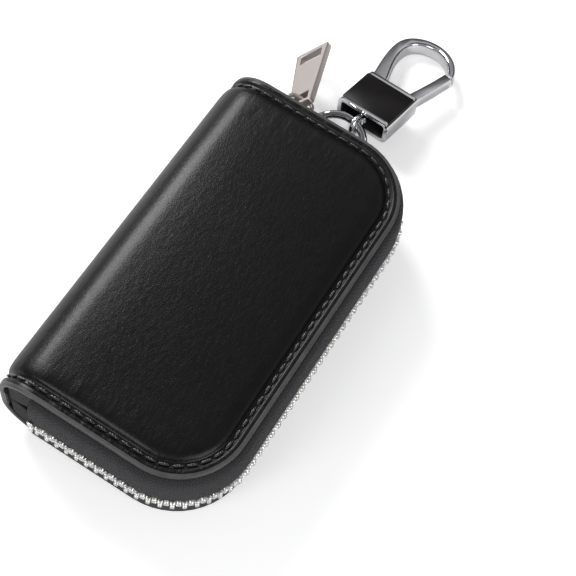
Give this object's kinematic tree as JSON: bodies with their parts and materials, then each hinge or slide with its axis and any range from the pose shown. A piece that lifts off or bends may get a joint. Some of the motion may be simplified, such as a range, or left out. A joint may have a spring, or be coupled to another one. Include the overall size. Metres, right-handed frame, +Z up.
{
  "type": "leather faraday key case",
  "caption": "Zip-around black leather key case with shielded, lined trays, an inner key chain and ring, a tapered zip pull and a chrome swivel snap hook.",
  "frame": {"origin": "centre of the back face that the closed case rests on", "axes": "+Y along the case towards the snap hook, +X from the spine to the zip side, +Z up through the case"},
  "size_m": [0.0552, 0.1471, 0.0266],
  "materials": {
    "leather": "fine-grain black leather, low sheen",
    "board": "moulded fibre board",
    "conductive_cloth": "woven conductive cloth, dull silver",
    "lining": "beige woven lining",
    "rim": "light beige rolled binding",
    "tape": "charcoal woven zip tape",
    "teeth": "bright nickel-plated teeth",
    "pull_nickel": "satin warm nickel",
    "chrome": "polished chrome plate",
    "inlay": "smooth black inlay"
  },
  "bodies": {
    "back": {"back_panel": "leather", "back_tray": "board", "back_shield": "conductive_cloth", "back_lining": "lining", "back_rim": "rim", "back_tape": "tape", "back_teeth": "teeth", "back_stops": "teeth", "back_gussets": "tape", "clasp_tab": "leather", "key_tab": "leather"},
    "spine": {"spine_panel": "leather", "spine_shield": "conductive_cloth", "spine_lining": "lining"},
    "front": {"front_panel": "leather", "front_tray": "board", "front_shield": "conductive_cloth", "front_lining": "lining", "front_rim": "rim", "front_tape": "tape", "front_teeth": "teeth", "front_stops": "teeth", "front_gussets": "tape"},
    "slider": {"slider_body": "pull_nickel", "slider_bail": "pull_nickel"},
    "pull": {"pull_tab": "pull_nickel"},
    "ring": {"d_ring": "chrome"},
    "eye": {"swivel_eye": "chrome"},
    "clasp": {"clasp_block": "chrome", "front_inlay": "inlay", "rear_inlay": "inlay", "hook": "chrome", "gate_pin": "chrome"},
    "gate": {"gate": "chrome"},
    "jump_ring": {"jump_ring": "chrome"},
    "chain": {"key_chain": "chrome", "connector_ring": "chrome"},
    "key_ring": {"key_ring": "chrome"}
  },
  "joints": [
    {"name": "spine_fold", "type": "hinge", "parent": "back", "child": "spine", "pos_m": [-0.0261, 0, 0.0025], "axis": [0, -1, 0], "range_deg": [0, 90]},
    {"name": "cover_fold", "type": "hinge", "parent": "spine", "child": "front", "pos_m": [-0.0261, 0, 0.0241], "axis": [0, -1, 0], "range_deg": [0, 90]},
    {"name": "slider_travel", "type": "slide", "parent": "back", "child": "slider", "axis": [1, 0, 0], "range_m": [0, 0.004]},
    {"name": "pull_swing", "type": "hinge", "parent": "slider", "child": "pull", "pos_m": [-0.013, 0.056, 0.0133], "axis": [1, 0, 0], "range_deg": [-25, 35]},
    {"name": "ring_swing", "type": "hinge", "parent": "back", "child": "ring", "pos_m": [-0.0018, 0.0519, 0.0044], "axis": [1, 0, 0], "range_deg": [-40, 16]},
    {"name": "eye_swing", "type": "hinge", "parent": "ring", "child": "eye", "pos_m": [0.0008, 0.06105, 0.00773], "axis": [0.9397, -0.3215, -0.117], "range_deg": [-30, 30]},
    {"name": "clasp_turn", "type": "hinge", "parent": "eye", "child": "clasp", "pos_m": [0.00218, 0.06947, 0.00661], "axis": [0.1602, 0.9784, -0.1305], "continuous": true},
    {"name": "gate_press", "type": "hinge", "parent": "clasp", "child": "gate", "pos_m": [0.00779, 0.07329, 0.00687], "axis": [-0.1506, 0.1549, 0.9764], "range_deg": [0, 24], "stiffness_Nm_per_rad": 0.02},
    {"name": "jump_ring_swing", "type": "hinge", "parent": "back", "child": "jump_ring", "pos_m": [0.0035, 0.03531, 0.0099], "axis": [1, 0, 0], "range_deg": [-5, 0]},
    {"name": "chain_swing", "type": "hinge", "parent": "jump_ring", "child": "chain", "pos_m": [0.0035, 0.02971, 0.0099], "axis": [-1, 0, 0], "range_deg": [0, 5]},
    {"name": "key_ring_swing", "type": "hinge", "parent": "chain", "child": "key_ring", "pos_m": [0.0035, -0.00624, 0.00644], "axis": [-1, 0, 0], "range_deg": [0, 10]}
  ]
}
